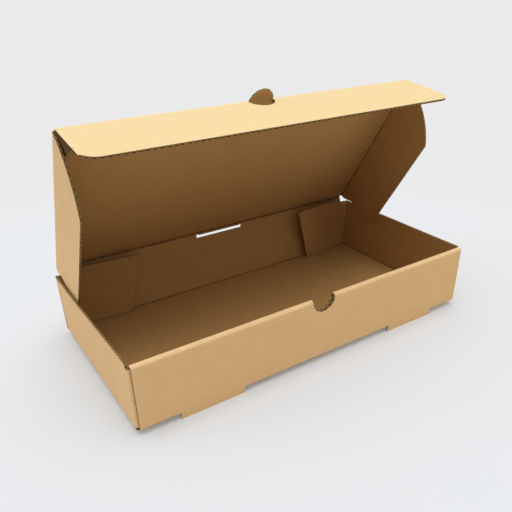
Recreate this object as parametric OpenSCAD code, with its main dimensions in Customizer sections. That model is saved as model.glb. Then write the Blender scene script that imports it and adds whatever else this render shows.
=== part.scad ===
// A long, low calzone box, die-cut and folded from one sheet of corrugated board.
// X runs along the front, Y to the back and Z up. The origin is the middle of the base's underside.
// The lid stands half open and its tuck flap is half folded, as in use.

/* [Tray] */
// Length of the tray along the front, outside
tray_l = 300; // [240:1:360]
// Depth of the tray from front to back at its base, outside
tray_d = 150; // [130:1:180]
// Height of the front and side walls above the base's underside
wall_h = 50; // [42:1:60]

/* [Board] */
// Thickness of the corrugated board
board_t = 1.5; // [1.2:0.1:1.8]
// Inner radius of each fold
fold_r = 0.5; // [0.3:0.05:0.6]
// Air between the layers of the front wall and behind the corner flaps
layer_gap = 0.1; // [0.1:0.05:0.3]
// Slit that parts two cut edges of the sheet
slit = 0.3; // [0.2:0.05:0.5]

/* [Front wall] */
// Distance from the middle of the front to the middle of each foot
foot_x = 94; // [70:1:100]
// Length of each foot along the front
foot_w = 50; // [30:1:54]
// Height that the feet stand below the base
foot_h = 4; // [2:0.5:6]
// Corner radius of the feet
foot_corner_r = 2; // [1:0.5:2]
// Radius of the finger notch
notch_r = 10; // [7:0.5:13]
// Depth of the finger notch below the wall's top
notch_depth = 11; // [8:0.5:13]
// Distance from the side walls' outer faces to the ends of the outer front panel
front_inset = 2; // [1:0.1:2.5]
// Gap between the side walls and the ends of the inner front panel
inner_end_gap = 0.5; // [0.3:0.1:1]
// Room around each lock tab in its slot in the base
lock_gap = 0.6; // [0.4:0.1:1]
// Reach of the front corner flaps behind the front wall
front_flap_reach = 40; // [20:1:45]

/* [Back wall] */
// Height of the lid's hinge line above the base's underside
hinge_h = 55; // [52:0.5:70]
// Angle that the back wall leans back, degrees
back_lean = 4; // [1:0.5:6]
// Length of the vent slot
slot_l = 47; // [20:1:80]
// Height of the vent slot
slot_h = 2.6; // [2:0.2:4]
// Distance from the hinge line down to the top of the vent slot
slot_drop = 3.2; // [2.6:0.1:5]
// Length of the relief cut at each end of the hinge line
relief_l = 5.5; // [4:0.5:6.5]
// Height of the relief cut at each end of the hinge line
relief_h = 7; // [5:0.5:8]
// Reach of the rear corner flaps at their tops
rear_flap_top = 66.5; // [40:0.5:80]
// Reach of the rear corner flaps at their bottoms
rear_flap_bottom = 55; // [30:0.5:80]
// Distance from the side wall to where a rear corner flap's top begins to rise
rear_rise_start = 9; // [7:0.5:12]
// Length over which a rear corner flap's top rises
rear_rise_l = 10; // [6:0.5:14]
// Gap between the closed lid and the rear corner flaps' tops
rear_flap_gap = 0.75; // [0.7:0.05:2]

/* [Lid] */
// Depth of the lid from its hinge line to the tuck flap's hinge line
lid_d = 141.2; // [139:0.1:141.5]
// Gap between the lid's wings and the side walls
wing_gap = 0.3; // [0.2:0.1:0.6]
// Depth of the lid's wings from the lid's outer face
wing_d = 48.5; // [36:0.5:49.5]
// Distance from the hinge line to the wings' rear edges at their tops
wing_rear = 6.5; // [6.5:0.5:12]
// Slant of the wings' rear edges
wing_slant = 1.5; // [1.5:0.5:4]
// Distance from the hinge line to where the wings' folds start
wing_fold_start = 1.5; // [1.5:0.5:5]
// Gap between the closed wings' necks and the tops of the walls
neck_gap = 0.5; // [0.5:0.1:1.5]
// Corner radius at the bottom of the wings' rear edges
wing_corner_r = 4; // [2:0.5:8]
// Length of the wings' curved front part
wing_curve_l = 29; // [22:0.5:40]
// Bulge of the wings' curved front edge over its chord
wing_bulge = 4.5; // [2:0.5:7]
// Angle that the lid stands above level, degrees
lid_open = 58; // [40:1:80]

/* [Tuck flap] */
// Depth of the tuck flap from its hinge line
flap_d = 47.8; // [40:0.1:47.8]
// Angle that the tuck flap is folded from the lid's plane, degrees
flap_fold = 67.5; // [60:0.5:75]
// Gap between the tuck flap's ears and the wings
ear_gap = 0.8; // [0.6:0.1:1.2]
// Depth of the ears at their deep end
ear_d = 16.5; // [12:0.5:28]
// Distance from the tuck flap's hinge line to where the ears start
ear_start = 2.5; // [2.5:0.5:6]
// Distance from the tuck flap's hinge line to where the ears end
ear_end = 30.5; // [24:0.5:38]
// Slope of the ears' deep edges, degrees
ear_slope = 13; // [13:0.5:20]
// Corner radius of the tuck flap
flap_corner_r = 8; // [3:0.5:9]
// Half the width of the thumb tab
tab_r = 10.5; // [8:0.5:14]
// Length of the thumb tab's straight sides below its half-round end
tab_straight = 0.5; // [0.5:0.5:4]

/* [Hidden] */
$fn = 64;
// Length by which a cutting shape runs past what it cuts
past = 1;
// Straight steps in each of the back wall's arcs
arc_steps = 12;
// Outer radius of each fold
bend_r = fold_r + board_t;
// Radius at the middle of the board in each fold
mid_r = fold_r + board_t / 2;
// Half the board's thickness
half_t = board_t / 2;
// Thickness of the whole front wall
front_t = 3 * board_t + 2 * layer_gap;
// Front corner flaps' outer face, behind the outer front panel
front_flap_y = -tray_d / 2 + board_t + layer_gap;
// Rear corner flaps' outer face, before the back wall
rear_flap_y = tray_d / 2 - board_t - layer_gap;
// Height of the bends' free ends above the base
corner_z = bend_r + slit;
// Level at which the side walls stop below the front wall's top strip
strip_z = wall_h - bend_r - slit;
// Height of the back wall along its own slope, from its fold to the hinge line
back_run = (hinge_h - bend_r + mid_r * sin(back_lean)) / cos(back_lean);
// Depth position of the lid's hinge line
hinge_y = tray_d / 2 - bend_r + mid_r * cos(back_lean) + back_run * sin(back_lean);
// Level of the rear corner flaps' tops away from the side walls
rear_flap_z = max(wall_h, hinge_h - half_t - rear_flap_gap);
// Distance between the hinge line and the rounded edge next to it
edge_drop = board_t + slit / 2;
// Half the width of the lid over its wings
lid_half = tray_l / 2 - board_t - wing_gap;
// Half the width of the tuck flap over its ears
flap_half = lid_half - board_t - ear_gap;
// Depth below the lid's middle at which the wings' necks end, over the walls
neck_d = max(mid_r + slit, hinge_h - wall_h - neck_gap);
// Height of the thumb tab from the tuck flap's hinge line
tab_h = tab_r + tab_straight;
// Corner points of the wings' curved front edge: distance from the hinge line, and depth
curve_top = [lid_d - board_t - slit, 0];
curve_low = [lid_d + half_t - wing_curve_l, wing_d];
curve_span = norm(curve_low - curve_top);
curve_r = (curve_span * curve_span / 4 + wing_bulge * wing_bulge) / (2 * wing_bulge);
curve_way = (curve_low - curve_top) / curve_span;
curve_mid = (curve_top + curve_low) / 2 + (curve_r - wing_bulge) * [-curve_way[1], curve_way[0]];
// Length over which the curved front part and the straight part of a wing overlap
curve_lap = 4;
// Board colours
outer_colour = [0.80, 0.63, 0.42];
lid_colour = [0.86, 0.70, 0.48];
flap_colour = [0.95, 0.80, 0.58];

// Draws a flat outline in depth and height, as thick as l along X, about the middle plane
module along_x(l) {
  rotate([90, 0, 90]) translate([0, 0, -l / 2]) linear_extrude(l) children();
}

// Draws a flat outline in length and height, as thick as l along Y, about the middle plane
module along_y(l) {
  rotate([90, 0, 0]) translate([0, 0, -l / 2]) linear_extrude(l) children();
}

// Outline of one fold: a quarter ring or less, from angle a to angle b about the origin
module fold(a, b) {
  far = 3 * bend_r;
  m = (a + b) / 2;
  intersection() {
    difference() {
      circle(r = bend_r);
      circle(r = fold_r);
    }
    polygon([[0, 0], far * [cos(a), sin(a)], far * [cos(m), sin(m)], far * [cos(b), sin(b)]]);
  }
}

// Outline of a rectangle between two corners
module block(x0, y0, x1, y1) {
  translate([x0, y0]) square([x1 - x0, y1 - y0]);
}

// Copies a right-hand shape to the left
module both_sides() {
  children();
  mirror([1, 0, 0]) children();
}

// Base and side walls: an outline in length and height
module base_outline() {
  half = tray_l / 2;
  block(-half + bend_r, 0, half - bend_r, board_t);
  for (side = [-1, 1]) {
    translate([side * (half - bend_r), bend_r]) fold(side < 0 ? 180 : 270, side < 0 ? 270 : 360);
  }
}

// Side wall with its top cut down under the front wall's top strip
module side_wall() {
  y0 = front_flap_y + bend_r;
  y1 = rear_flap_y - bend_r;
  strip_end = -tray_d / 2 + front_t + slit;
  difference() {
    translate([tray_l / 2 - board_t, y0, bend_r]) cube([board_t, y1 - y0, wall_h - bend_r]);
    translate([tray_l / 2 - board_t - past, y0 - past, strip_z])
      cube([board_t + 2 * past, strip_end - y0 + past, wall_h]);
  }
}

// Corner flap folded in from a side wall's front end, behind the outer front panel
module front_corner_flap() {
  x_fold = tray_l / 2 - bend_r;
  translate([x_fold, front_flap_y + bend_r, corner_z])
    linear_extrude(strip_z - corner_z) fold(270, 360);
  translate([x_fold - front_flap_reach + bend_r, front_flap_y, corner_z])
    cube([front_flap_reach - bend_r, board_t, strip_z - corner_z]);
}

// Corner flap folded in from a side wall's rear end, before the back wall
module rear_corner_flap() {
  x_fold = tray_l / 2 - bend_r;
  translate([x_fold, rear_flap_y - bend_r, corner_z])
    linear_extrude(wall_h - corner_z) fold(0, 90);
  translate([0, rear_flap_y - half_t, 0]) along_y(board_t)
    polygon([
      [x_fold, corner_z],
      [tray_l / 2 - rear_flap_bottom, corner_z],
      [tray_l / 2 - rear_flap_top, rear_flap_z],
      [tray_l / 2 - rear_rise_start - rear_rise_l, rear_flap_z],
      [tray_l / 2 - rear_rise_start, wall_h],
      [x_fold, wall_h]
    ]);
}

// Outer front panel, top strip and the fold into the inner panel
module front_roll() {
  y_out = -tray_d / 2;
  along_x(tray_l - 2 * front_inset) {
    translate([y_out + bend_r, bend_r]) fold(180, 270);
    block(y_out, bend_r, y_out + board_t, wall_h - bend_r);
    translate([y_out + bend_r, wall_h - bend_r]) fold(90, 180);
    block(y_out + bend_r, wall_h - board_t, y_out + front_t - bend_r, wall_h);
    translate([y_out + front_t - bend_r, wall_h - bend_r]) fold(0, 90);
  }
}

// Inner front panel with its two lock tabs, which stand in the slots in the base
module inner_front() {
  half = tray_l / 2 - board_t - inner_end_gap;
  y_in = -tray_d / 2 + front_t - board_t;
  translate([-half, y_in, board_t + layer_gap])
    cube([2 * half, board_t, wall_h - bend_r - board_t - layer_gap]);
  both_sides() translate([foot_x - foot_w / 2 + lock_gap, y_in, layer_gap])
    cube([foot_w - 2 * lock_gap, board_t, wall_h / 2]);
}

// Foot: the part of the outer front panel that runs on below the base
module foot() {
  drop = foot_h - foot_corner_r;
  translate([0, -tray_d / 2 + half_t, 0]) along_y(board_t) {
    block(foot_x - foot_w / 2, -drop, foot_x + foot_w / 2, 2 * bend_r);
    block(foot_x - foot_w / 2 + foot_corner_r, -foot_h, foot_x + foot_w / 2 - foot_corner_r, 0);
    for (side = [-1, 1]) {
      translate([foot_x + side * (foot_w / 2 - foot_corner_r), -drop]) circle(r = foot_corner_r);
    }
  }
}

// Slot in the base that the foot leaves, with a slit at each of the foot's ends
module foot_slot() {
  translate([foot_x - foot_w / 2 - slit, -tray_d / 2 - past, -past])
    cube([foot_w + 2 * slit, front_t + lock_gap + past, bend_r + past]);
}

// Finger notch through every layer of the front wall
module finger_notch() {
  y0 = -tray_d / 2 - past;
  z_mid = wall_h - notch_depth + notch_r;
  translate([0, y0, z_mid]) rotate([-90, 0, 0]) cylinder(r = notch_r, h = front_t + 2 * past);
  translate([-notch_r, y0, z_mid]) cube([2 * notch_r, front_t + 2 * past, notch_depth + past]);
}

// Moves a shape into the back wall's own slope, with the height measured from its fold
module on_back_wall() {
  translate([0, tray_d / 2 - bend_r, bend_r]) rotate([-back_lean, 0, 0]) children();
}

// Points along an arc about c, from angle a to angle b
function arc(c, r, a, b) = [for (i = [0:arc_steps]) c + r * [cos(a + (b - a) * i / arc_steps), sin(a + (b - a) * i / arc_steps)]];

// Back wall's outline with its fold and its rounded top: depth and height
module back_outline() {
  centre = [tray_d / 2 - bend_r, bend_r];
  up = [sin(back_lean), cos(back_lean)];
  out = [cos(back_lean), -sin(back_lean)];
  top_centre = centre + mid_r * out + (back_run - edge_drop) * up;
  polygon(concat(
    arc(centre, bend_r, 270, 360 - back_lean),
    arc(top_centre, half_t, -back_lean, 180 - back_lean),
    arc(centre, fold_r, 360 - back_lean, 270)
  ));
}

// Back wall with its vent slot and the relief cuts at the ends of the hinge line
module back_wall() {
  half = tray_l / 2;
  difference() {
    along_x(tray_l) back_outline();
    on_back_wall() translate([0, mid_r, 0]) along_y(board_t + 2 * past) {
      block(-slot_l / 2, back_run - slot_drop - slot_h, slot_l / 2, back_run - slot_drop);
      for (side = [-1, 1]) {
        polygon([
          [side * (half - relief_l), back_run + past],
          [side * (half - relief_l), back_run],
          [side * (half + past), back_run - relief_h],
          [side * (half + past), back_run + past]
        ]);
      }
    }
  }
}

// The tray: base, side walls, double front wall, back wall and four corner flaps
module tray() {
  color(outer_colour) difference() {
    union() {
      difference() {
        union() {
          along_y(tray_d - 2 * bend_r) base_outline();
          front_roll();
        }
        both_sides() foot_slot();
      }
      both_sides() {
        side_wall();
        front_corner_flap();
        rear_corner_flap();
        foot();
      }
      inner_front();
      back_wall();
    }
    finger_notch();
  }
}

// Moves a shape modelled on a closed lid at the origin to the hinge line, and opens it
module at_lid() {
  translate([0, hinge_y, hinge_h]) rotate([-lid_open, 0, 0]) children();
}

// Moves a shape modelled on a flat tuck flap at the origin to its hinge line, and folds it
module at_flap() {
  at_lid() translate([0, -lid_d, 0]) rotate([flap_fold, 0, 0]) children();
}

// Wing outline: distance from the hinge line runs to the left, depth runs down
module wing_outline() {
  deep = wing_d - half_t;
  wing_low = wing_rear + wing_slant;
  mirror([1, 0]) mirror([0, 1]) {
    polygon([
      [wing_fold_start, mid_r],
      [wing_fold_start, neck_d],
      [wing_rear, neck_d],
      [wing_low, deep - wing_corner_r],
      [curve_low[0], deep - wing_corner_r],
      [curve_low[0], mid_r]
    ]);
    block(wing_low + wing_corner_r, deep - 2 * wing_corner_r, curve_low[0], deep);
    translate([wing_low + wing_corner_r, deep - wing_corner_r]) circle(r = wing_corner_r);
    intersection() {
      block(curve_low[0] - curve_lap, mid_r, lid_d, deep);
      translate([curve_mid[0], curve_mid[1] - half_t]) circle(r = curve_r, $fn = 256);
    }
  }
}

// Thumb tab outline beyond the tuck flap's hinge line, grown by a gap
module tab_outline(gap) {
  block(-tab_r - gap, 0, tab_r + gap, tab_h - tab_r);
  translate([0, tab_h - tab_r]) circle(r = tab_r + gap);
}

// The lid: panel, two wings and the thumb tab in the panel's plane
module lid() {
  fold_x = lid_half - bend_r;
  front_s = lid_d - edge_drop;
  color(lid_colour) at_lid() {
    difference() {
      along_x(2 * fold_x) {
        block(-front_s, -half_t, 0, half_t);
        circle(r = half_t);
        translate([-front_s, 0]) circle(r = half_t);
      }
      both_sides() translate([fold_x - relief_l + bend_r, -wing_fold_start, -board_t])
        cube([relief_l + past, 2 * wing_fold_start, 2 * board_t]);
    }
    both_sides() {
      translate([fold_x, -(wing_fold_start + curve_top[0]) / 2, half_t - bend_r])
        along_y(curve_top[0] - wing_fold_start) fold(0, 90);
      translate([lid_half - half_t, 0, 0]) along_x(board_t) wing_outline();
    }
    translate([0, 0, -half_t]) linear_extrude(board_t) {
      block(-tab_r, -lid_d, tab_r, -lid_d + tab_r);
      translate([0, -lid_d]) mirror([0, 1]) intersection() {
        tab_outline(0);
        block(-tab_r, 0, tab_r, tab_h);
      }
    }
  }
}

// The tuck flap with its folded ears and the hole that the thumb tab leaves
module tuck_flap() {
  fold_x = flap_half - bend_r;
  deep = ear_d - half_t;
  top = fold_r + half_t;
  color(flap_colour) at_flap() {
    difference() {
      union() {
        along_x(2 * flap_half) {
          block(-ear_start + slit, -half_t, 0, half_t);
          circle(r = half_t);
        }
        translate([0, 0, -half_t]) linear_extrude(board_t) {
          block(-fold_x, -flap_d + flap_corner_r, fold_x, 0);
          block(-flap_half, -flap_d + flap_corner_r, flap_half, -ear_end - slit);
          block(-flap_half + flap_corner_r, -flap_d, flap_half - flap_corner_r, -flap_d + 2 * flap_corner_r);
          for (side = [-1, 1]) {
            translate([side * (flap_half - flap_corner_r), -flap_d + flap_corner_r]) circle(r = flap_corner_r);
          }
        }
      }
      translate([0, 0, -board_t]) linear_extrude(2 * board_t) mirror([0, 1]) {
        tab_outline(slit);
        block(-tab_r - slit, -board_t, tab_r + slit, tab_h - tab_r);
      }
    }
    both_sides() {
      translate([fold_x, -(ear_start + ear_end) / 2, half_t - bend_r])
        along_y(ear_end - ear_start) fold(0, 90);
      translate([flap_half - half_t, 0, 0]) along_x(board_t)
        polygon([
          [-ear_start, -top],
          [-ear_start - (deep - top) * tan(ear_slope), -deep],
          [-ear_end, -top]
        ]);
    }
  }
}

tray();
lid();
tuck_flap();
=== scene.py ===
import math

import bmesh
import bpy
from mathutils import Euler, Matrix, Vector
from mathutils.geometry import tessellate_polygon


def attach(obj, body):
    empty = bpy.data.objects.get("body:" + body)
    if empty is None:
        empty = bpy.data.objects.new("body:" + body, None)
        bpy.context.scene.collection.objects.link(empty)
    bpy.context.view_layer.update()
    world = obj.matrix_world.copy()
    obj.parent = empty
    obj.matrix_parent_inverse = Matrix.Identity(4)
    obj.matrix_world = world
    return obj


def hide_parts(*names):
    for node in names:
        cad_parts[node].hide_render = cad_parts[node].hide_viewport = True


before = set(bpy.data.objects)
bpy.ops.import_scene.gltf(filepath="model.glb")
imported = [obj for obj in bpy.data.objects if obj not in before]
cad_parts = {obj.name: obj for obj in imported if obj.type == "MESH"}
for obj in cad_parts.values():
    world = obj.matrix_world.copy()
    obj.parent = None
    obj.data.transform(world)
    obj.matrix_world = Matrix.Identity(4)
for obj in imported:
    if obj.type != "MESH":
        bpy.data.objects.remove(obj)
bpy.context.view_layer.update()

# Sizes in millimetres. Some differ a little from the part's source, to look as in the photograph.
MM = 0.001
TRAY_L = 300.0
TRAY_D = 150.0
WALL_H = 50.0
BOARD = 1.5
FOLD_R = 0.5
AIR = 0.1
SLIT = 0.3
FOOT_X = 94.0
FOOT_W = 50.0
FOOT_H = 4.0
FOOT_CORNER_R = 2.0
NOTCH_R = 10.0
NOTCH_DEPTH = 11.0
FRONT_INSET = 2.0
LOCK_GAP = 0.6
FRONT_FLAP_REACH = 40.0
HINGE_H = 55.0
LEAN = math.radians(4.0)
SLOT_HALF = 23.5
SLOT_H = 2.6
SLOT_DROP = 3.2
SLOT_HOOK = 0.9
SLOT_HOOK_L = 1.2
SLOT_HOOK_END = 2.2
RELIEF_H = 7.0
RELIEF_TOP_X = 143.9
SHOULDER_X = 145.6
REAR_FLAP_TOP = 68.5
REAR_FLAP_BOTTOM = 54.3
REAR_RISE_START = 9.0
REAR_RISE_L = 10.0
REAR_FLAP_GAP = 0.75
LID_D = 141.2
WING_GAP = 0.3
WING_D = 49.0
WING_REAR = 6.3
WING_SLANT = 1.5
WING_START = 0.3
NECK_GAP = 0.5
WING_CORNER_R = 4.0
WING_CURVE_L = 29.0
WING_BULGE = 6.6
WING_SLOPE_END = 14.5
WING_FRONT_GAP = 1.1
LID_OPEN = math.radians(58.0)
FLAP_D = 47.8
FLAP_FOLD = math.radians(67.5)
EAR_GAP = 0.05
EAR_D = 16.5
EAR_START = 2.5
EAR_END = 30.5
EAR_SLOPE = math.radians(13.0)
EAR_MID_R = 0.8
EAR_TURN = math.radians(96.0)
FLAP_SHOULDER_H = 2.0
FLAP_CORNER_R = 12.0
TAB_X = -1.2
TAB_R = 9.8
TAB_STRAIGHT = 0.5

# Sizes that follow from them
HALF = BOARD / 2
BEND_R = FOLD_R + BOARD
MID_R = FOLD_R + HALF
EDGE_DROP = BOARD + SLIT / 2
STRIP_Z = WALL_H - BEND_R - SLIT
REAR_FLAP_RISE = HINGE_H - HALF - REAR_FLAP_GAP - WALL_H
NECK_D = HINGE_H - WALL_H - NECK_GAP

# Lengths along the flat blank
RIGHT = math.pi / 2
TURN = MID_R * RIGHT
LEAN_TURN = RIGHT - LEAN
LEAN_ARC = MID_R * LEAN_TURN
HALF_L = TRAY_L / 2 - BEND_R
HALF_D = TRAY_D / 2 - BEND_R
WALL_RUN = WALL_H - 2 * BEND_R
SIDE_START = HALF_L + TURN
FRONT_START = HALF_D + TURN
FRONT_LAYERS = 3 * BOARD + 2 * AIR
STRIP_RUN = FRONT_LAYERS - 2 * BEND_R
STRIP_START = FRONT_START + WALL_RUN + TURN
INNER_START = STRIP_START + STRIP_RUN + TURN
CORNER_Y = TRAY_D / 2 - BOARD - AIR - BEND_R
BACK_RUN = (HINGE_H - BEND_R + MID_R * math.sin(LEAN)) / math.cos(LEAN)
BACK_START = HALF_D + LEAN_ARC
HINGE_S = BACK_START + BACK_RUN
HINGE_Y = HALF_D + MID_R * math.cos(LEAN) + BACK_RUN * math.sin(LEAN)
LID_HALF = TRAY_L / 2 - BOARD - WING_GAP
LID_FOLD = LID_HALF - BEND_R
FLAP_HALF = LID_HALF - BOARD - EAR_GAP
FLAP_FOLD_X = FLAP_HALF - EAR_MID_R - HALF
EAR_ARC = EAR_MID_R * EAR_TURN

# Board details
LINER = 0.22
FLUTE_PITCH = 4.4
FLUTE_PAPER = 0.3
FLUTE_SET_BACK = FLUTE_PAPER / 4
CUT_DEPTH = 0.9
HINGE_BEAD = 1.0
CREASE_W = 0.5
FOLD_FADE = 1.6
# Share of the crease colour at the corner flaps' folds: wear on the outside, painted shade on the inside.
CORNER_WEAR_AND_SHADE = 0.7

# How far the hand-folded walls and rear corner flaps stand off from square
FLARE = 1.2
FLARE_START = 8 - TRAY_D / 2
FLARE_FULL = TRAY_D / 4
REAR_SPLAY = 6.5
REAR_SPLAY_POWER = 1.5

# How finely the meshes are cut
FLUTE_STEPS = 10
FOLD_STEPS = 8
RIM_FACES = 5
GRID = 12.0
FOOT_CORNER_STEPS = 6
NOTCH_STEPS = 32
WING_CORNER_STEPS = 8
CURVE_STEPS = 28
TAB_STEPS = 40
HOLE_STEPS = 32
FLAP_CORNER_STEPS = 10
TAB_MARGIN = 1.0
CUT_REACH = 0.0001
WELD_REACH = 0.001
EDGE_REACH = 0.01
CORNER_EASE = 0.4
MITRE_LEAST = 0.4


def arc_points(centre, radius, start, end, steps):
    """Points on an arc, with the angles in degrees."""
    points = []
    for i in range(steps + 1):
        a = math.radians(start + (end - start) * i / steps)
        points.append((centre[0] + radius * math.cos(a), centre[1] + radius * math.sin(a)))
    return points


def both_halves(right):
    """A whole outline from its right half, which runs from the lower middle to the upper middle."""
    return right + [(-x, s) for x, s in reversed(right)]


def fold_point(run, depth, angle, mid_r=MID_R):
    """Forward and upward place from a fold's centre, for a run along the board's middle."""
    across = mid_r - depth
    length = mid_r * angle
    if run <= 0:
        return run, -across
    if run < length:
        turned = run / mid_r
        return across * math.sin(turned), -across * math.cos(turned)
    rest = run - length
    forward = across * math.sin(angle) + rest * math.cos(angle)
    return forward, rest * math.sin(angle) - across * math.cos(angle)


def smooth_step(value, low, high):
    """Rises smoothly from 0 at low to 1 at high."""
    t = min(1.0, max(0.0, (value - low) / (high - low)))
    return t * t * (3 - 2 * t)


# Where the blank's own pieces lie
FOOT_LEFT = FOOT_X - FOOT_W / 2
FOOT_RIGHT = FOOT_X + FOOT_W / 2
FOOT_RUN = BEND_R + FOOT_H
FOOT_TOP = -FRONT_START
FOOT_END = FOOT_TOP + FOOT_RUN


def tray_place(x, s, depth):
    """Folds a point of the tray's flat blank. Depth is measured towards the inside."""
    side = 1 if x > 0 else -1
    reach = abs(x)
    in_foot = FOOT_LEFT - SLIT / 2 < reach < FOOT_RIGHT + SLIT / 2
    if in_foot and FOOT_TOP < s < FOOT_END + SLIT / 2:
        return Vector((x, -HALF_D - MID_R + depth, BEND_R - (s - FOOT_TOP)))
    if reach > SIDE_START + SLIT / 2 or (reach > HALF_L and abs(s) <= HALF_D):
        forward, up = fold_point(reach - HALF_L, depth, RIGHT)
        out, y, z = HALF_L + forward, s, BEND_R + up
        if reach > SIDE_START + SLIT / 2 and abs(s) > CORNER_Y:
            forward, up = fold_point(abs(s) - CORNER_Y, depth, RIGHT)
            out = HALF_L - up
            y = math.copysign(CORNER_Y + forward, s)
            if s > 0:
                free = max(0.0, s - CORNER_Y - TURN) / REAR_FLAP_TOP
                y -= REAR_SPLAY * free ** REAR_SPLAY_POWER
        out += FLARE * (z / WALL_H) * smooth_step(y, FLARE_START, FLARE_FULL)
        return Vector((side * out, y, z))
    if s > HALF_D:
        forward, up = fold_point(s - HALF_D, depth, LEAN_TURN)
        return Vector((x, HALF_D + forward, BEND_R + up))
    if s >= -HALF_D:
        return Vector((x, s, HALF + depth))
    run = -HALF_D - s
    forward, up = fold_point(run, depth, RIGHT)
    run -= TURN + WALL_RUN
    if run <= 0:
        return Vector((x, -HALF_D - forward, BEND_R + up))
    forward, up = fold_point(run, depth, RIGHT)
    run -= TURN + STRIP_RUN
    if run <= 0:
        return Vector((x, -HALF_D + up, WALL_H - BEND_R + forward))
    forward, up = fold_point(run, depth, RIGHT)
    return Vector((x, -HALF_D + STRIP_RUN + forward, WALL_H - BEND_R - up))


def lid_turn(point):
    """Turns a point of the closed lid at the origin to where the open lid is."""
    c, sn = math.cos(LID_OPEN), math.sin(LID_OPEN)
    return Vector((point.x, HINGE_Y + point.y * c + point.z * sn, HINGE_H - point.y * sn + point.z * c))


def flap_turn(point):
    """Turns a point of the flat tuck flap at the origin to where the folded flap is."""
    c, sn = math.cos(FLAP_FOLD), math.sin(FLAP_FOLD)
    return lid_turn(Vector((point.x, -LID_D + point.y * c - point.z * sn, point.y * sn + point.z * c)))


def winged_place(x, s, depth, fold_x, angle, mid_r):
    """Folds a point of a flat panel whose two ends are folded down, with the panel level."""
    forward, up = fold_point(abs(x) - fold_x, depth, angle, mid_r)
    return Vector((math.copysign(fold_x + forward, x), -s, -mid_r - up))


def lid_place(x, s, depth):
    return lid_turn(winged_place(x, s, depth, LID_FOLD, RIGHT, MID_R))


def flap_place(x, s, depth):
    return flap_turn(winged_place(x, s, depth, FLAP_FOLD_X, EAR_TURN, EAR_MID_R))


def fold_cuts(start, length):
    """Cut lines through a fold, close enough for a round bend, and one where its crease colour ends on each
    side.
    """
    bend = [start + length * i / FOLD_STEPS for i in range(FOLD_STEPS + 1)]
    return [start - FOLD_FADE] + bend + [start + length + FOLD_FADE]


def grid_cuts(low, high):
    """Evenly spaced cut lines over a flat panel."""
    steps = max(1, round((high - low) / GRID))
    return [low + (high - low) * i / steps for i in range(1, steps)]


def flat_sheet(loops, x_cuts, s_cuts):
    """The flat blank as a mesh of small faces, all facing up."""
    flat = bmesh.new()
    corners = [flat.verts.new((x, s, 0)) for loop in loops for x, s in loop]
    for triangle in tessellate_polygon([[Vector((x, s, 0)) for x, s in loop] for loop in loops]):
        flat.faces.new([corners[i] for i in triangle])
    flat.normal_update()
    for face in flat.faces:
        if face.normal.z < 0:
            face.normal_flip()
    for axis, cuts in ((0, x_cuts), (1, s_cuts)):
        for cut in cuts:
            where = Vector((0, 0, 0))
            where[axis] = cut
            across = Vector((0, 0, 0))
            across[axis] = 1
            everything = flat.verts[:] + flat.edges[:] + flat.faces[:]
            bmesh.ops.bisect_plane(flat, geom=everything, dist=CUT_REACH, plane_co=where, plane_no=across)
    bmesh.ops.remove_doubles(flat, verts=flat.verts[:], dist=WELD_REACH)
    bmesh.ops.dissolve_degenerate(flat, edges=flat.edges[:], dist=WELD_REACH)
    flat.verts.ensure_lookup_table()
    flat.verts.index_update()
    return flat


def rim_ways(flat):
    """The next vertex along the rim, and the way into the board, for each vertex on the rim."""
    following, before = {}, {}
    for edge in flat.edges:
        if len(edge.link_faces) == 1:
            loop = edge.link_loops[0]
            a, b = loop.vert.index, loop.link_loop_next.vert.index
            following[a] = b
            before[b] = a
    inward = {}
    for v in following:
        here = flat.verts[v].co
        first = (here - flat.verts[before[v]].co).normalized()
        second = (flat.verts[following[v]].co - here).normalized()
        both = Vector((-first.y - second.y, first.x + second.x, 0))
        inward[v] = both / max(MITRE_LEAST, 1 + first.dot(second))
    return following, inward


# The places of a board's materials in its list; the last is a dark liner that paints shade on the ears'
# outer faces
INNER, OUTER, CUT, HOLLOW, PAINTED_SHADE = range(5)


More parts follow.
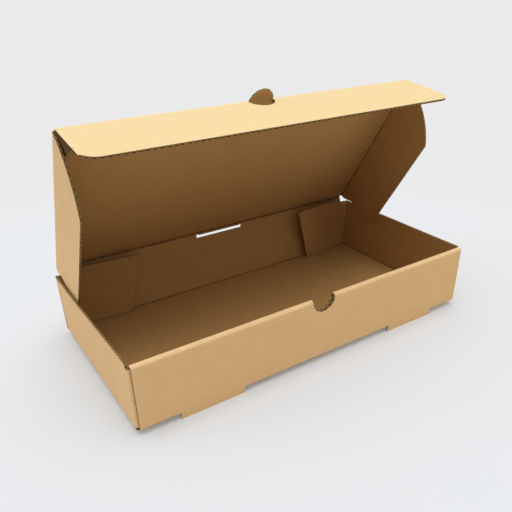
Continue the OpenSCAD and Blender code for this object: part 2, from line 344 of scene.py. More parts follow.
def board_mesh(name, flat, place, hinge_r, fold_amount, painted_shade_from):
    """The folded board: two liners, cut edges with a hollow between them, and round hinge edges."""
    following, inward = rim_ways(flat)
    points, sheet, folds = [], [], []

    def add(x, s, depth):
        points.append(place(x, s, depth) * MM)
        sheet.append((x * MM, s * MM))
        folds.append(fold_amount(x, s))
        return len(points) - 1

    upper, lower, ring = {}, {}, {}
    for v in flat.verts:
        upper[v.index] = add(v.co.x, v.co.y, HALF)
        lower[v.index] = add(v.co.x, v.co.y, -HALF)
    for v in following:
        here, way = flat.verts[v].co, inward[v]
        ids = [upper[v]]
        round_r = hinge_r(here.x, here.y)
        if round_r:
            for k in range(1, RIM_FACES):
                a = math.pi * k / RIM_FACES
                at = here - way * round_r * math.sin(a)
                ids.append(add(at.x, at.y, round_r * math.cos(a)))
        else:
            at = here + way * CUT_DEPTH
            ids.append(add(here.x, here.y, HALF - LINER))
            ids.append(add(at.x, at.y, HALF - LINER))
            ids.append(add(at.x, at.y, LINER - HALF))
            ids.append(add(here.x, here.y, LINER - HALF))
        ids.append(lower[v])
        ring[v] = ids
    faces, kinds = [], []
    for face in flat.faces:
        ids = [v.index for v in face.verts]
        faces.append([upper[i] for i in ids])
        kinds.append(INNER)
        faces.append([lower[i] for i in reversed(ids)])
        # Past the given reach across the blank, the outer faces take the dark liner: painted shade on the
        # ears.
        kinds.append(OUTER if abs(face.calc_center_median().x) < painted_shade_from else PAINTED_SHADE)
    sharp = set()
    for a, b in following.items():
        hinge = all(hinge_r(flat.verts[v].co.x, flat.verts[v].co.y) for v in (a, b))
        for k in range(RIM_FACES):
            faces.append([ring[b][k], ring[a][k], ring[a][k + 1], ring[b][k + 1]])
            if hinge:
                kinds.append(INNER if k < RIM_FACES // 2 else OUTER)
            else:
                kinds.append(CUT if k in (0, RIM_FACES - 1) else HOLLOW)
                sharp.add(frozenset((ring[a][k], ring[b][k])))
                sharp.add(frozenset((ring[a][k + 1], ring[b][k + 1])))
    mesh = bpy.data.meshes.new(name)
    mesh.from_pydata(points, [], faces)
    mesh.polygons.foreach_set("material_index", kinds)
    mesh.shade_smooth()
    edge_marks = [frozenset(edge.vertices) in sharp for edge in mesh.edges]
    mark = mesh.attributes.new("sharp_edge", "BOOLEAN", "EDGE")
    mark.data.foreach_set("value", edge_marks)
    uv = mesh.uv_layers.new(name="sheet")
    for loop in mesh.loops:
        uv.data[loop.index].uv = sheet[loop.vertex_index]
    fold = mesh.attributes.new("fold", "FLOAT", "POINT")
    fold.data.foreach_set("value", folds)
    return mesh


def flute_strip(name, flat, place, hinge_r):
    """Flat strips along the cut edges, which the flute tree turns into the wavy middle paper."""
    following, inward = rim_ways(flat)
    points, across, runs, faces = [], [], [], []

    def add(x, s, run):
        points.append(place(x, s, -FLUTE_PAPER / 2) * MM)
        across.append((place(x, s, HALF) - place(x, s, -HALF)).normalized())
        runs.append(run * MM)
        return len(points) - 1

    waiting = set(following)
    while waiting:
        a = min(waiting)
        run = 0.0
        while a in waiting:
            waiting.discard(a)
            b = following[a]
            start, end = flat.verts[a].co, flat.verts[b].co
            length = (end - start).length
            steps = max(1, math.ceil(length / (FLUTE_PITCH / FLUTE_STEPS)))
            last = None
            for i in range(steps + 1):
                if hinge_r(start.x, start.y) and hinge_r(end.x, end.y):
                    break
                here = start.lerp(end, i / steps)
                way = inward[a].lerp(inward[b], i / steps)
                front, back = here + way * FLUTE_SET_BACK, here + way * CUT_DEPTH
                along = run + length * i / steps
                pair = add(front.x, front.y, along), add(back.x, back.y, along)
                if last:
                    faces.append([last[0], pair[0], pair[1], last[1]])
                last = pair
            run += length
            a = b
    mesh = bpy.data.meshes.new(name)
    mesh.from_pydata(points, [], faces)
    for key, kind, values in (("across", "FLOAT_VECTOR", across), ("run", "FLOAT", runs)):
        attribute = mesh.attributes.new(key, kind, "POINT")
        if kind == "FLOAT":
            attribute.data.foreach_set("value", values)
        else:
            attribute.data.foreach_set("vector", [c for v in values for c in v])
    mesh.shade_smooth()
    return mesh


def link(tree, source, output, target, socket):
    tree.links.new(source.outputs[output], target.inputs[socket])


def node(tree, kind, **settings):
    made = tree.nodes.new(kind)
    for key, value in settings.items():
        setattr(made, key, value)
    return made


def socket(tree, name, way, kind, value=None):
    made = tree.interface.new_socket(name, in_out=way, socket_type=kind)
    if value is not None:
        made.default_value = value
    return made


FLUTE_WELD = 0.000005


def flute_tree():
    """Geometry Nodes: waves a strip across the board's thickness and gives it the paper's thickness."""
    tree = bpy.data.node_groups.new("flute_medium", "GeometryNodeTree")
    socket(tree, "Strip", "INPUT", "NodeSocketGeometry")
    for name in ("Pitch", "Height", "Paper"):
        socket(tree, name, "INPUT", "NodeSocketFloat")
    socket(tree, "Material", "INPUT", "NodeSocketMaterial")
    socket(tree, "Flutes", "OUTPUT", "NodeSocketGeometry")
    given = node(tree, "NodeGroupInput")
    result = node(tree, "NodeGroupOutput")
    run = node(tree, "GeometryNodeInputNamedAttribute", data_type="FLOAT")
    run.inputs["Name"].default_value = "run"
    across = node(tree, "GeometryNodeInputNamedAttribute", data_type="FLOAT_VECTOR")
    across.inputs["Name"].default_value = "across"
    turns = node(tree, "ShaderNodeMath", operation="DIVIDE")
    link(tree, run, "Attribute", turns, 0)
    link(tree, given, "Pitch", turns, 1)
    angle = node(tree, "ShaderNodeMath", operation="MULTIPLY")
    link(tree, turns, 0, angle, 0)
    angle.inputs[1].default_value = 2 * math.pi
    wave = node(tree, "ShaderNodeMath", operation="SINE")
    link(tree, angle, 0, wave, 0)
    lift = node(tree, "ShaderNodeMath", operation="MULTIPLY")
    link(tree, wave, 0, lift, 0)
    link(tree, given, "Height", lift, 1)
    shift = node(tree, "ShaderNodeVectorMath", operation="SCALE")
    link(tree, across, "Attribute", shift, 0)
    link(tree, lift, 0, shift, "Scale")
    waved = node(tree, "GeometryNodeSetPosition")
    link(tree, given, "Strip", waved, "Geometry")
    link(tree, shift, 0, waved, "Offset")
    thick = node(tree, "GeometryNodeExtrudeMesh", mode="FACES")
    thick.inputs["Individual"].default_value = False
    link(tree, waved, "Geometry", thick, "Mesh")
    link(tree, across, "Attribute", thick, "Offset")
    link(tree, given, "Paper", thick, "Offset Scale")
    under = node(tree, "GeometryNodeFlipFaces")
    link(tree, waved, "Geometry", under, "Mesh")
    joined = node(tree, "GeometryNodeJoinGeometry")
    link(tree, thick, "Mesh", joined, 0)
    link(tree, under, "Mesh", joined, 0)
    merged = node(tree, "GeometryNodeMergeByDistance")
    link(tree, joined, 0, merged, "Geometry")
    merged.inputs["Distance"].default_value = FLUTE_WELD
    real = node(tree, "GeometryNodeRealizeInstances")
    link(tree, merged, 0, real, 0)
    dressed = node(tree, "GeometryNodeSetMaterial")
    link(tree, real, 0, dressed, "Geometry")
    link(tree, given, "Material", dressed, "Material")
    link(tree, dressed, "Geometry", result, "Flutes")
    return tree


def modifier_input(modifier, tree, name, value):
    """Sets a Geometry Nodes input by its socket's identifier."""
    for item in tree.interface.items_tree:
        if item.name == name and item.in_out == "INPUT":
            modifier[item.identifier] = value


# The colour sockets of a Mix node, which share their names with its other kinds of socket
MIX_A = 6
MIX_B = 7
MIX_RESULT = 2

# Paper relief: the fibres' share of the height, and the height in metres
FIBRE_HEIGHT = 0.35
RELIEF_DEPTH = 0.0002


def paper_group():
    """Kraft liner: cloudy formation, long fibres, dark specks and faint flute ridges."""
    tree = bpy.data.node_groups.new("kraft_paper", "ShaderNodeTree")
    socket(tree, "Sheet", "INPUT", "NodeSocketVector")
    socket(tree, "Light", "INPUT", "NodeSocketColor", (0.7, 0.5, 0.3, 1))
    socket(tree, "Dark", "INPUT", "NodeSocketColor", (0.5, 0.3, 0.2, 1))
    socket(tree, "Speck", "INPUT", "NodeSocketColor", (0.3, 0.2, 0.1, 1))
    socket(tree, "Specks", "INPUT", "NodeSocketFloat", 0.3)
    socket(tree, "Ridges", "INPUT", "NodeSocketFloat", 0.2)
    socket(tree, "Colour", "OUTPUT", "NodeSocketColor")
    socket(tree, "Roughness", "OUTPUT", "NodeSocketFloat")
    socket(tree, "Height", "OUTPUT", "NodeSocketFloat")
    given = node(tree, "NodeGroupInput")
    result = node(tree, "NodeGroupOutput")

    def noise(scale, stretch, detail, roughness):
        mapped = node(tree, "ShaderNodeMapping")
        link(tree, given, "Sheet", mapped, "Vector")
        mapped.inputs["Scale"].default_value = stretch
        made = node(tree, "ShaderNodeTexNoise", noise_dimensions="3D")
        link(tree, mapped, "Vector", made, "Vector")
        made.inputs["Scale"].default_value = scale
        made.inputs["Detail"].default_value = detail
        made.inputs["Roughness"].default_value = roughness
        return made

    def steps(source, output, low, high, to_low, to_high):
        made = node(tree, "ShaderNodeMapRange", clamp=True)
        link(tree, source, output, made, "Value")
        made.inputs["From Min"].default_value = low
        made.inputs["From Max"].default_value = high
        made.inputs["To Min"].default_value = to_low
        made.inputs["To Max"].default_value = to_high
        return made

    cloud = noise(scale=70.0, stretch=(1.0, 0.6, 1.0), detail=4.0, roughness=0.6)
    fibre = noise(scale=900.0, stretch=(1.0, 0.18, 1.0), detail=3.0, roughness=0.65)
    cross = noise(scale=700.0, stretch=(0.22, 1.0, 1.0), detail=2.0, roughness=0.6)
    fine = node(tree, "ShaderNodeMath", operation="ADD")
    link(tree, fibre, "Fac", fine, 0)
    link(tree, cross, "Fac", fine, 1)
    fine_part = steps(fine, 0, low=0.7, high=1.3, to_low=0.0, to_high=0.5)
    cloud_part = steps(cloud, "Fac", low=0.3, high=0.7, to_low=0.0, to_high=0.5)
    tone = node(tree, "ShaderNodeMath", operation="ADD")
    link(tree, fine_part, "Result", tone, 0)
    link(tree, cloud_part, "Result", tone, 1)
    base = node(tree, "ShaderNodeMix", data_type="RGBA")
    link(tree, tone, 0, base, "Factor")
    link(tree, given, "Dark", base, MIX_A)
    link(tree, given, "Light", base, MIX_B)
    speck_noise = noise(scale=620.0, stretch=(1.0, 0.45, 1.0), detail=1.0, roughness=0.5)
    speck = steps(speck_noise, "Fac", low=0.7, high=0.76, to_low=0.0, to_high=1.0)
    speck_share = node(tree, "ShaderNodeMath", operation="MULTIPLY")
    link(tree, speck, "Result", speck_share, 0)
    link(tree, given, "Specks", speck_share, 1)
    specked = node(tree, "ShaderNodeMix", data_type="RGBA")
    link(tree, speck_share, 0, specked, "Factor")
    link(tree, base, MIX_RESULT, specked, MIX_A)
    link(tree, given, "Speck", specked, MIX_B)
    parts = node(tree, "ShaderNodeSeparateXYZ")
    link(tree, given, "Sheet", parts, 0)
    turns = node(tree, "ShaderNodeMath", operation="MULTIPLY")
    link(tree, parts, "Y", turns, 0)
    turns.inputs[1].default_value = 2 * math.pi / (FLUTE_PITCH * MM)
    ridge = node(tree, "ShaderNodeMath", operation="SINE")
    link(tree, turns, 0, ridge, 0)
    ridge_share = node(tree, "ShaderNodeMath", operation="MULTIPLY")
    link(tree, ridge, 0, ridge_share, 0)
    link(tree, given, "Ridges", ridge_share, 1)
    fine_height = node(tree, "ShaderNodeMath", operation="MULTIPLY")
    link(tree, fine, 0, fine_height, 0)
    fine_height.inputs[1].default_value = FIBRE_HEIGHT
    height = node(tree, "ShaderNodeMath", operation="ADD")
    link(tree, ridge_share, 0, height, 0)
    link(tree, fine_height, 0, height, 1)
    rough = steps(fine, 0, low=0.7, high=1.3, to_low=0.9, to_high=0.72)
    link(tree, specked, MIX_RESULT, result, "Colour")
    link(tree, rough, "Result", result, "Roughness")
    link(tree, height, 0, result, "Height")
    return tree


def crease_group():
    """Creases: along each fold the liner's colour is mixed, in patches, towards the crease colour: a little
    lighter wear on the outside liner, and a dark painted shade in the folded inside corners.
    """
    tree = bpy.data.node_groups.new("crease_wear_and_painted_shade", "ShaderNodeTree")
    socket(tree, "Colour", "INPUT", "NodeSocketColor", (0.5, 0.5, 0.5, 1))
    socket(tree, "Wear and shade", "INPUT", "NodeSocketColor", (0.8, 0.6, 0.4, 1))
    socket(tree, "Sheet", "INPUT", "NodeSocketVector")
    socket(tree, "Fold", "INPUT", "NodeSocketFloat", 0.0)
    socket(tree, "Start", "INPUT", "NodeSocketFloat", 0.0)
    socket(tree, "Amount", "INPUT", "NodeSocketFloat", 0.5)
    socket(tree, "Colour", "OUTPUT", "NodeSocketColor")
    socket(tree, "Mask", "OUTPUT", "NodeSocketFloat")
    given = node(tree, "NodeGroupInput")
    result = node(tree, "NodeGroupOutput")
    patches = node(tree, "ShaderNodeTexNoise", noise_dimensions="3D")
    link(tree, given, "Sheet", patches, "Vector")
    patches.inputs["Scale"].default_value = 160.0
    patches.inputs["Detail"].default_value = 5.0
    share = node(tree, "ShaderNodeMapRange", clamp=True)
    link(tree, patches, "Fac", share, "Value")
    share.inputs["From Min"].default_value = 0.35
    share.inputs["From Max"].default_value = 0.65
    share.inputs["To Min"].default_value = 0.45
    line = node(tree, "ShaderNodeMapRange", clamp=True)
    link(tree, given, "Fold", line, "Value")
    link(tree, given, "Start", line, "From Min")
    mask = node(tree, "ShaderNodeMath", operation="MULTIPLY")
    link(tree, share, "Result", mask, 0)
    link(tree, line, "Result", mask, 1)
    amount = node(tree, "ShaderNodeMath", operation="MULTIPLY")
    link(tree, mask, 0, amount, 0)
    link(tree, given, "Amount", amount, 1)
    mixed = node(tree, "ShaderNodeMix", data_type="RGBA")
    link(tree, amount, 0, mixed, "Factor")
    link(tree, given, "Colour", mixed, MIX_A)
    link(tree, given, "Wear and shade", mixed, MIX_B)
    link(tree, mixed, MIX_RESULT, result, "Colour")
    link(tree, mask, 0, result, "Mask")
    return tree


PAPER = paper_group()
CREASE = crease_group()


def paper_surface(tree, paper, shader, bump, gloss):
    """Gives a shader the paper's roughness, its fine relief and a dull gloss."""
    link(tree, paper, "Roughness", shader, "Roughness")
    raised = node(tree, "ShaderNodeBump")
    raised.inputs["Strength"].default_value = bump
    raised.inputs["Distance"].default_value = RELIEF_DEPTH
    link(tree, paper, "Height", raised, "Height")
    link(tree, raised, "Normal", shader, "Normal")
    shader.inputs["Specular IOR Level"].default_value = gloss


def liner_material(name, light, dark, speck, wear_and_shade, specks, ridges, crease_start, crease_amount, bump,
                   gloss=0.2):
    """A liner's finish: kraft paper with its creases."""
    material = bpy.data.materials.new(name)
    material.use_nodes = True
    tree = material.node_tree
    shader = tree.nodes["Principled BSDF"]
    sheet = node(tree, "ShaderNodeUVMap", uv_map="sheet")
    paper = node(tree, "ShaderNodeGroup", node_tree=PAPER)
    link(tree, sheet, "UV", paper, "Sheet")
    paper.inputs["Light"].default_value = (*light, 1)
    paper.inputs["Dark"].default_value = (*dark, 1)
    paper.inputs["Speck"].default_value = (*speck, 1)
    paper.inputs["Specks"].default_value = specks
    paper.inputs["Ridges"].default_value = ridges
    fold = node(tree, "ShaderNodeAttribute", attribute_name="fold")
    crease = node(tree, "ShaderNodeGroup", node_tree=CREASE)
    link(tree, paper, "Colour", crease, "Colour")
    crease.inputs["Wear and shade"].default_value = (*wear_and_shade, 1)
    link(tree, sheet, "UV", crease, "Sheet")
    link(tree, fold, "Fac", crease, "Fold")
    crease.inputs["Start"].default_value = crease_start
    crease.inputs["Amount"].default_value = crease_amount
    link(tree, crease, "Colour", shader, "Base Color")
    paper_surface(tree, paper, shader, bump, gloss)
    return material


# The inside liner's dark crease colour is painted shade along the folded inside corners.
INNER_LINER = liner_material(
    "kraft_inside", (0.51, 0.31, 0.116), (0.465, 0.272, 0.097), (0.22, 0.12, 0.045), (0.13, 0.065, 0.02),
    specks=0.15, ridges=0.08, crease_start=0.5, crease_amount=0.9, bump=0.2)
OUTER_LINER = liner_material(
    "kraft_outside", (0.83, 0.555, 0.285), (0.79, 0.515, 0.255), (0.45, 0.27, 0.11), (0.86, 0.62, 0.34),
    specks=0.15, ridges=0.08, crease_start=0.0, crease_amount=0.4, bump=0.2)
# Painted light: a paler, yellower copy of the outer liner for the tuck flap, where it faces the overhead
# light.
FLAP_PAINTED_LIGHT_LINER = liner_material(
    "kraft_outside_painted_light", (0.82, 0.635, 0.335), (0.78, 0.595, 0.305), (0.48, 0.33, 0.15),
    (0.87, 0.69, 0.39),
    specks=0.15, ridges=0.08, crease_start=0.0, crease_amount=0.4, bump=0.2)
# Painted shade: the ears' outer faces are the flap's pale liner, darkened here as though they lay in shade.
EAR_PAINTED_SHADE_LINER = liner_material(
    "kraft_ear_painted_shade", (0.125, 0.06, 0.02), (0.11, 0.052, 0.017), (0.08, 0.04, 0.014), (0.09, 0.045, 0.016),
    specks=0.15, ridges=0.08, crease_start=0.5, crease_amount=0.5, bump=0.2, gloss=0.05)
CUT_PAPER = liner_material(
    "cut_liner", (0.34, 0.20, 0.08), (0.24, 0.135, 0.05), (0.15, 0.08, 0.03), (0.34, 0.20, 0.08),
    specks=0.1, ridges=0.0, crease_start=0.0, crease_amount=0.0, bump=0.3)
# Painted shade: the recess between the cut liners is darkened as though it lay in shade.
HOLLOW_PAINTED_SHADE = liner_material(
    "flute_hollow_painted_shade", (0.13, 0.07, 0.025), (0.08, 0.04, 0.015), (0.05, 0.025, 0.01), (0.13, 0.07, 0.025),
    specks=0.1, ridges=0.0, crease_start=0.0, crease_amount=0.0, bump=0.3)


def medium_material():
    """The wavy middle paper, rough and a little darker than the liners."""
    material = bpy.data.materials.new("flute_medium")
    material.use_nodes = True
    tree = material.node_tree
    shader = tree.nodes["Principled BSDF"]
    place = node(tree, "ShaderNodeTexCoord")
    paper = node(tree, "ShaderNodeGroup", node_tree=PAPER)
    link(tree, place, "Object", paper, "Sheet")
    paper.inputs["Light"].default_value = (0.72, 0.47, 0.23, 1)
    paper.inputs["Dark"].default_value = (0.50, 0.31, 0.14, 1)
    paper.inputs["Specks"].default_value = 0.0
    paper.inputs["Ridges"].default_value = 0.0
    link(tree, paper, "Colour", shader, "Base Color")
    paper_surface(tree, paper, shader, bump=0.3, gloss=0.2)
    return material


MEDIUM = medium_material()
FLUTES = flute_tree()


def plain_object(name, mesh):
    made = bpy.data.objects.new(name, mesh)
    bpy.context.scene.collection.objects.link(made)
    return made


def board_piece(name, loops, place, x_cuts, s_cuts, hinge_r, fold_amount, outer, painted_shade_from=TRAY_L):
    """One folded piece of board with its flutes, which rides on the body of its name."""
    flat = flat_sheet(loops, x_cuts, s_cuts)
    mesh = board_mesh(name + "_board", flat, place, hinge_r, fold_amount, painted_shade_from)
    piece = plain_object(name + "_board", mesh)
    for material in (INNER_LINER, outer, CUT_PAPER, HOLLOW_PAINTED_SHADE, EAR_PAINTED_SHADE_LINER):
        piece.data.materials.append(material)
    strip = plain_object(name + "_strip", flute_strip(name + "_strip", flat, place, hinge_r))
    flat.free()
    waves = strip.modifiers.new("flutes", "NODES")
    waves.node_group = FLUTES
    modifier_input(waves, FLUTES, "Pitch", FLUTE_PITCH * MM)
    modifier_input(waves, FLUTES, "Height", (HALF - LINER - FLUTE_PAPER / 2) * MM)
    modifier_input(waves, FLUTES, "Paper", FLUTE_PAPER * MM)
    modifier_input(waves, FLUTES, "Material", MEDIUM)
    bpy.context.view_layer.update()
    shaped = strip.evaluated_get(bpy.context.evaluated_depsgraph_get())
    strip.data = bpy.data.meshes.new_from_object(shaped)
    strip.modifiers.clear()
    for chosen in bpy.context.selected_objects:
        chosen.select_set(False)
    strip.select_set(True)
    piece.select_set(True)
    bpy.context.view_layer.objects.active = piece
    bpy.ops.object.join()
    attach(piece, name)
    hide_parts(name)
    return piece


def near_fold(value, low, high):
    """1 inside a fold, falling to 0 over a short way on each side."""
    away = max(low - value, value - high, 0.0)
    return max(0.0, 1.0 - away / FOLD_FADE)


# The tray's blank
def tray_loops():
    wall_top = SIDE_START + WALL_RUN + BEND_R
    strip_top = SIDE_START + STRIP_Z - BEND_R
    corner = SIDE_START + SLIT
    front_half = TRAY_L / 2 - FRONT_INSET
    front_flap_end = CORNER_Y + TURN + FRONT_FLAP_REACH - BEND_R
    rear_low = CORNER_Y + TURN + REAR_FLAP_BOTTOM - BEND_R
    rear_high = CORNER_Y + TURN + REAR_FLAP_TOP - BEND_R
    rise_start = CORNER_Y + TURN + REAR_RISE_START - BEND_R
    rear_top = wall_top + REAR_FLAP_RISE
    inner_low = -(INNER_START + WALL_H - BEND_R - BOARD - AIR)
    tab_low = inner_low - BOARD
    back_top = HINGE_S - EDGE_DROP
    right = [
        (FOOT_LEFT + LOCK_GAP, inner_low), (FOOT_LEFT + LOCK_GAP, tab_low),
        (FOOT_RIGHT - LOCK_GAP, tab_low), (FOOT_RIGHT - LOCK_GAP, inner_low),
        (front_half, inner_low), (front_half, -HALF_D),
        (SIDE_START, CORNER_EASE - HALF_D), (SIDE_START, -CORNER_Y), (corner, -CORNER_Y),
        (corner, -front_flap_end), (strip_top, -front_flap_end),
        (strip_top, -TRAY_D / 2 + FRONT_LAYERS + SLIT), (wall_top, -TRAY_D / 2 + FRONT_LAYERS + SLIT),
        (wall_top, rise_start), (rear_top, rise_start + REAR_RISE_L), (rear_top, rear_high),
        (corner, rear_low),
        (corner, CORNER_Y), (SIDE_START, CORNER_Y), (SIDE_START, HALF_D - CORNER_EASE), (HALF_L, HALF_D),
        (TRAY_L / 2, HALF_D + CORNER_EASE), (TRAY_L / 2, HINGE_S - RELIEF_H),
        (SHOULDER_X, HINGE_S - RELIEF_H), (RELIEF_TOP_X, back_top),
    ]
    outline = both_halves(right)
    feet = []
    low, high, end = FOOT_LEFT - SLIT, FOOT_RIGHT + SLIT, FOOT_END + SLIT
    turn_r, turn_s = FOOT_CORNER_R, FOOT_END - FOOT_CORNER_R
    tongue = arc_points((FOOT_RIGHT - turn_r, turn_s), turn_r, 0, 90, FOOT_CORNER_STEPS)
    tongue += arc_points((FOOT_LEFT + turn_r, turn_s), turn_r, 90, 180, FOOT_CORNER_STEPS)
    for side in (-1, 1):
        hole = [(low, FOOT_TOP), (low, end), (high, end), (high, FOOT_TOP), (FOOT_RIGHT, FOOT_TOP)]
        hole += tongue + [(FOOT_LEFT, FOOT_TOP)]
        feet.append([(side * x, s) for x, s in hole])
    notch_z = WALL_H - NOTCH_DEPTH + NOTCH_R
    level = WALL_H - BEND_R - notch_z
    first = math.degrees(math.asin(level / NOTCH_R))
    outer_s = -(FRONT_START + notch_z - BEND_R)
    inner_s = -(INNER_START + WALL_H - BEND_R - notch_z)
    notch = arc_points((0, outer_s), NOTCH_R, -first, 180 + first, NOTCH_STEPS)
    notch += arc_points((0, inner_s), NOTCH_R, 180 - first, 360 + first, NOTCH_STEPS)
    top, low = HINGE_S - SLOT_DROP, HINGE_S - SLOT_DROP - SLOT_H
    hooked = top + SLOT_HOOK
    hook = [(SLOT_HALF, low), (SLOT_HALF, hooked)]
    hook += [(SLOT_HALF - SLOT_HOOK_L, hooked), (SLOT_HALF - SLOT_HOOK_END, top)]
    slot = hook + [(-x, s) for x, s in reversed(hook)]
    return [outline, *feet, notch, slot]


def tray_hinge(x, s):
    """The radius of the round edge below the lid's crease, and nothing elsewhere."""
    return HALF if s > HINGE_S - EDGE_DROP - EDGE_REACH and abs(x) < SHOULDER_X else 0.0


def tray_fold(x, s):
    reach = abs(x)
    if reach > SIDE_START + SLIT / 2:
        return CORNER_WEAR_AND_SHADE * near_fold(abs(s), CORNER_Y, CORNER_Y + TURN)
    if reach > HALF_L - FOLD_FADE and abs(s) <= HALF_D:
        return near_fold(reach, HALF_L, SIDE_START)
    if s > 0:
        return max(near_fold(s, HALF_D, BACK_START), near_fold(s, HINGE_S - EDGE_DROP, HINGE_S))
    if FOOT_LEFT < reach < FOOT_RIGHT and s > -FRONT_START - FOLD_FADE:
        return 0.0
    first = near_fold(-s, HALF_D, FRONT_START)
    return max(first, near_fold(-s, STRIP_START - TURN, INNER_START))


def spread(cuts):
    """The same cut lines on both sides of the middle."""
    return sorted({round(side * cut, 5) for cut in cuts for side in (-1, 1)})


tray_x = fold_cuts(HALF_L, TURN) + grid_cuts(0, HALF_L)
tray_x += grid_cuts(SIDE_START, SIDE_START + WALL_RUN) + [0.0]
tray_s = [-cut for cut in fold_cuts(HALF_D, TURN) + fold_cuts(STRIP_START - TURN, TURN)]
tray_s += [-cut for cut in fold_cuts(STRIP_START + STRIP_RUN, TURN)]
tray_s += fold_cuts(HALF_D, LEAN_ARC) + spread(fold_cuts(CORNER_Y, TURN))
tray_s += grid_cuts(-HALF_D, HALF_D) + grid_cuts(BACK_START, HINGE_S)
tray_s += [-cut for cut in grid_cuts(FRONT_START, STRIP_START - TURN)]
tray_s += [-cut for cut in grid_cuts(INNER_START, INNER_START + WALL_RUN)]
tray_s += [HINGE_S - EDGE_DROP - FOLD_FADE]
board_piece("tray", tray_loops(), tray_place, spread(tray_x), tray_s, tray_hinge, tray_fold, OUTER_LINER)


# The lid's blank
def wing_x(depth):
    """Place across the blank of a wing's point at a depth below the lid's middle."""
    return LID_FOLD + TURN + depth - MID_R


def lid_loops():
    low = Vector((LID_D + HALF - WING_CURVE_L, WING_D))
    top = Vector((LID_D - WING_FRONT_GAP, 0.0))
    chord = low - top
    radius = (chord.length_squared / 4 + WING_BULGE * WING_BULGE) / (2 * WING_BULGE)
    way = chord.normalized()
    middle = (low + top) / 2 + Vector((-way.y, way.x)) * (radius - WING_BULGE)
    curve = []
    for i in range(CURVE_STEPS + 1):
        depth = WING_D + (BEND_R - WING_D) * i / CURVE_STEPS
        s = middle.x + math.sqrt(radius * radius - (depth - middle.y) ** 2)
        curve.append((wing_x(depth - HALF), s))
    front = LID_D - EDGE_DROP
    corner = (wing_x(WING_D - HALF - WING_CORNER_R), WING_REAR + WING_SLANT + WING_CORNER_R)
    right = [(RELIEF_TOP_X, 0.0), (RELIEF_TOP_X, WING_START), (wing_x(NECK_D), WING_START)]
    right += [(wing_x(WING_SLOPE_END), WING_REAR)]
    right += arc_points(corner, WING_CORNER_R, -90, 0, WING_CORNER_STEPS) + curve
    right += [(LID_FOLD, top.x), (LID_FOLD, front)]
    left = [(-x, s) for x, s in reversed(right)]
    tab = [(TAB_X + TAB_R, front)]
    tab += arc_points((TAB_X, LID_D + TAB_STRAIGHT), TAB_R, 0, 180, TAB_STEPS)
    return [right + tab + [(TAB_X - TAB_R, front)] + left]


def lid_hinge(x, s):
    """The radius of the lid's round edges at its two creases, and nothing elsewhere."""
    if s < EDGE_REACH:
        return HINGE_BEAD
    at_front = abs(s - LID_D + EDGE_DROP) < EDGE_REACH
    return HALF if at_front and abs(x - TAB_X) > TAB_R + SLIT else 0.0


def lid_fold(x, s):
    sides = near_fold(abs(x), LID_FOLD, LID_FOLD + TURN)
    front = near_fold(s, LID_D - EDGE_DROP, LID_D) if abs(x - TAB_X) > TAB_R else 0.0
    return max(sides, near_fold(s, 0, CREASE_W), front)


lid_x = fold_cuts(LID_FOLD, TURN) + grid_cuts(0, LID_FOLD) + grid_cuts(LID_FOLD + TURN, wing_x(WING_D))
lid_x = spread(lid_x) + [0.0, TAB_X - TAB_R - TAB_MARGIN, TAB_X + TAB_R + TAB_MARGIN]
lid_s = grid_cuts(0, LID_D) + [CREASE_W, CREASE_W + FOLD_FADE, LID_D - EDGE_DROP - FOLD_FADE]
board_piece("lid", lid_loops(), lid_place, lid_x, lid_s, lid_hinge, lid_fold, OUTER_LINER)


# The tuck flap's blank
def flap_loops():
    root = FLAP_FOLD_X + EAR_ARC
    tip = root + EAR_D - HALF - MID_R
    across = EAR_START + (tip - root) * math.tan(EAR_SLOPE)
    hole_r = TAB_R + SLIT
    hole = arc_points((TAB_X, TAB_STRAIGHT), hole_r, 180, 0, HOLE_STEPS)
    right = [
        (LID_HALF, 0.0), (FLAP_HALF, FLAP_SHOULDER_H), (FLAP_HALF, EAR_START - SLIT),
        (FLAP_FOLD_X, EAR_START - SLIT), (FLAP_FOLD_X, EAR_START),
        (root, EAR_START), (tip, across), (root, EAR_END),
        (FLAP_FOLD_X, EAR_END), (FLAP_FOLD_X, EAR_END + SLIT), (FLAP_HALF, EAR_END + SLIT),
    ]
    corner = (FLAP_HALF - FLAP_CORNER_R, FLAP_D - FLAP_CORNER_R)
    right += arc_points(corner, FLAP_CORNER_R, 0, 90, FLAP_CORNER_STEPS)
    left = [(-x, s) for x, s in reversed(right)]
    return [[(TAB_X - hole_r, 0.0)] + hole + [(TAB_X + hole_r, 0.0)] + right + left]


def flap_hinge(x, s):
    """The radius of the round edge at the flap's crease, and nothing elsewhere."""
    return HINGE_BEAD if s < EDGE_REACH else 0.0


def flap_fold(x, s):
    in_ear = EAR_START <= s <= EAR_END
    sides = near_fold(abs(x), FLAP_FOLD_X, FLAP_FOLD_X + EAR_ARC) if in_ear else 0.0
    return max(sides, near_fold(s, 0, CREASE_W))


flap_x = spread(fold_cuts(FLAP_FOLD_X, EAR_ARC) + grid_cuts(0, FLAP_FOLD_X) + [0.0])
flap_s = grid_cuts(0, FLAP_D) + [CREASE_W, CREASE_W + FOLD_FADE]
# The ears' outer faces, from the middle of their fold outwards, get the dark liner: painted shade.
board_piece(
    "tuck_flap", flap_loops(), flap_place, flap_x, flap_s, flap_hinge, flap_fold, FLAP_PAINTED_LIGHT_LINER,
    painted_shade_from=FLAP_FOLD_X + EAR_ARC / 2)


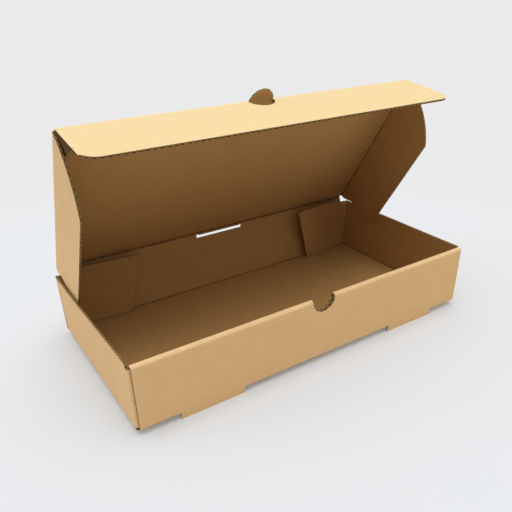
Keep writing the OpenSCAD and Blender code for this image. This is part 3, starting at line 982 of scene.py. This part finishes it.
# Camera at the photograph's viewing angle
CAMERA_PLACE = (-0.2275, -0.3403, 0.2458)
CAMERA_TURN_DEG = (60.445, 1.121, -33.124)
SENSOR_MM = 36.0
LENS_MM = 38.904
FRAMING_SHIFT = 0.0859
camera_data = bpy.data.cameras.new("camera")
camera = plain_object("camera", camera_data)
camera.location = CAMERA_PLACE
camera.rotation_euler = Euler([math.radians(angle) for angle in CAMERA_TURN_DEG])
camera_data.sensor_width = SENSOR_MM
camera_data.lens = LENS_MM
camera_data.shift_y = FRAMING_SHIFT
camera_data.clip_start = 0.01
camera_data.clip_end = 20.0
bpy.context.scene.camera = camera

# Pale floor. Seen directly it is the studio's pale grey with the object's soft shadow on it.
PALE = 0.823
FLOOR_Z = -FOOT_H * MM
FLOOR_REACH = 4.0
SHADE_NEAR = 0.25
SHADE_FAR = 0.60
BOUNCE_NEAR = 0.35
BOUNCE_FAR = 1.3


def stage_material(name, shade_share, seen_albedo, bounce, far_bounce):
    """A pale stage: plain glow far away, and a share of real shading near the object. For bounced light it
    is brighter near the object: a painted pool of light.
    """
    material = bpy.data.materials.new(name)
    material.use_nodes = True
    tree = material.node_tree
    tree.nodes.clear()
    out = node(tree, "ShaderNodeOutputMaterial")
    path = node(tree, "ShaderNodeLightPath")
    seen = node(tree, "ShaderNodeMath", operation="MAXIMUM")
    link(tree, path, "Is Camera Ray", seen, 0)
    link(tree, path, "Is Glossy Ray", seen, 1)
    glow = node(tree, "ShaderNodeEmission")
    glow.inputs["Color"].default_value = (PALE, PALE, PALE, 1)
    lit = node(tree, "ShaderNodeBsdfDiffuse")
    lit.inputs["Color"].default_value = (*seen_albedo, 1)
    place = node(tree, "ShaderNodeTexCoord")
    away = node(tree, "ShaderNodeVectorMath", operation="LENGTH")
    link(tree, place, "Object", away, 0)
    near = node(tree, "ShaderNodeMapRange", clamp=True, interpolation_type="SMOOTHSTEP")
    link(tree, away, "Value", near, "Value")
    near.inputs["From Min"].default_value = SHADE_NEAR
    near.inputs["From Max"].default_value = SHADE_FAR
    near.inputs["To Min"].default_value = shade_share
    near.inputs["To Max"].default_value = 0.0
    shown = node(tree, "ShaderNodeMixShader")
    link(tree, near, "Result", shown, 0)
    link(tree, glow, 0, shown, 1)
    link(tree, lit, 0, shown, 2)
    # The bounce colour is brighter near the object than far away: a painted pool of light on the floor.
    bright = node(tree, "ShaderNodeBsdfDiffuse")
    painted_light_pool = node(tree, "ShaderNodeMapRange", clamp=True, interpolation_type="SMOOTHSTEP")
    link(tree, away, "Value", painted_light_pool, "Value")
    painted_light_pool.inputs["From Min"].default_value = BOUNCE_NEAR
    painted_light_pool.inputs["From Max"].default_value = BOUNCE_FAR
    reach = node(tree, "ShaderNodeMix", data_type="RGBA")
    link(tree, painted_light_pool, "Result", reach, "Factor")
    reach.inputs[MIX_A].default_value = (*bounce, 1)
    reach.inputs[MIX_B].default_value = (*far_bounce, 1)
    link(tree, reach, MIX_RESULT, bright, "Color")
    both = node(tree, "ShaderNodeMixShader")
    link(tree, seen, 0, both, 0)
    link(tree, bright, 0, both, 1)
    link(tree, shown, 0, both, 2)
    link(tree, both, 0, out, 0)
    return material


floor_mesh = bpy.data.meshes.new("floor")
far = FLOOR_REACH
floor_corners = [(-far, -far, FLOOR_Z), (far, -far, FLOOR_Z), (far, far, FLOOR_Z), (-far, far, FLOOR_Z)]
floor_mesh.from_pydata(floor_corners, [], [(0, 1, 2, 3)])
floor = plain_object("floor", floor_mesh)
floor_mesh.materials.append(stage_material(
    "pale_floor", shade_share=0.8, seen_albedo=(0.665, 0.685, 0.702), bounce=(0.70, 0.66, 0.57),
    far_bounce=(0.48, 0.46, 0.43)))

# World: a broad soft light overhead, dimmer towards the horizon
HORIZON_LIGHT = 0.24
ZENITH_LIGHT = 4.05
ZENITH_POWER = 6.0
SKY_COLOUR = (0.99, 0.99, 1.0, 1)
world = bpy.data.worlds.new("studio")
bpy.context.scene.world = world
world.use_nodes = True
sky = world.node_tree
sky.nodes.clear()
world_out = node(sky, "ShaderNodeOutputWorld")
direction = node(sky, "ShaderNodeTexCoord")
parts = node(sky, "ShaderNodeSeparateXYZ")
link(sky, direction, "Generated", parts, 0)
upward = node(sky, "ShaderNodeMath", operation="MAXIMUM")
link(sky, parts, "Z", upward, 0)
upward.inputs[1].default_value = 0.0
rounder = node(sky, "ShaderNodeMath", operation="POWER")
link(sky, upward, 0, rounder, 0)
rounder.inputs[1].default_value = ZENITH_POWER
rise = node(sky, "ShaderNodeMapRange", clamp=True)
link(sky, rounder, 0, rise, "Value")
rise.inputs["To Min"].default_value = HORIZON_LIGHT
rise.inputs["To Max"].default_value = ZENITH_LIGHT
soft = node(sky, "ShaderNodeBackground")
soft.inputs["Color"].default_value = SKY_COLOUR
link(sky, rise, "Result", soft, "Strength")
seen_sky = node(sky, "ShaderNodeBackground")
seen_sky.inputs["Color"].default_value = (PALE, PALE, PALE, 1)
rays = node(sky, "ShaderNodeLightPath")
either = node(sky, "ShaderNodeMixShader")
link(sky, rays, "Is Camera Ray", either, 0)
link(sky, soft, 0, either, 1)
link(sky, seen_sky, 0, either, 2)
link(sky, either, 0, world_out, 0)


LAMP_AIM = Vector((0, 0, 0.05))


def area_lamp(name, place, size, power, colour):
    """A round lamp that points at the object."""
    lamp = bpy.data.lights.new(name, "AREA")
    lamp.shape = "DISK"
    lamp.size = size
    lamp.energy = power
    lamp.color = colour
    made = plain_object(name, lamp)
    made.location = place
    made.rotation_euler = (LAMP_AIM - Vector(place)).to_track_quat("-Z", "Y").to_euler()
    return made


area_lamp("left_fill", place=(-1.4, 0.8, 0.5), size=1.0, power=5.0, colour=(0.74, 0.89, 1.1))
area_lamp("right_fill", place=(0.62, -0.55, 0.40), size=0.35, power=0.45, colour=(1.0, 0.95, 0.88))

bpy.context.scene.view_settings.view_transform = "Standard"
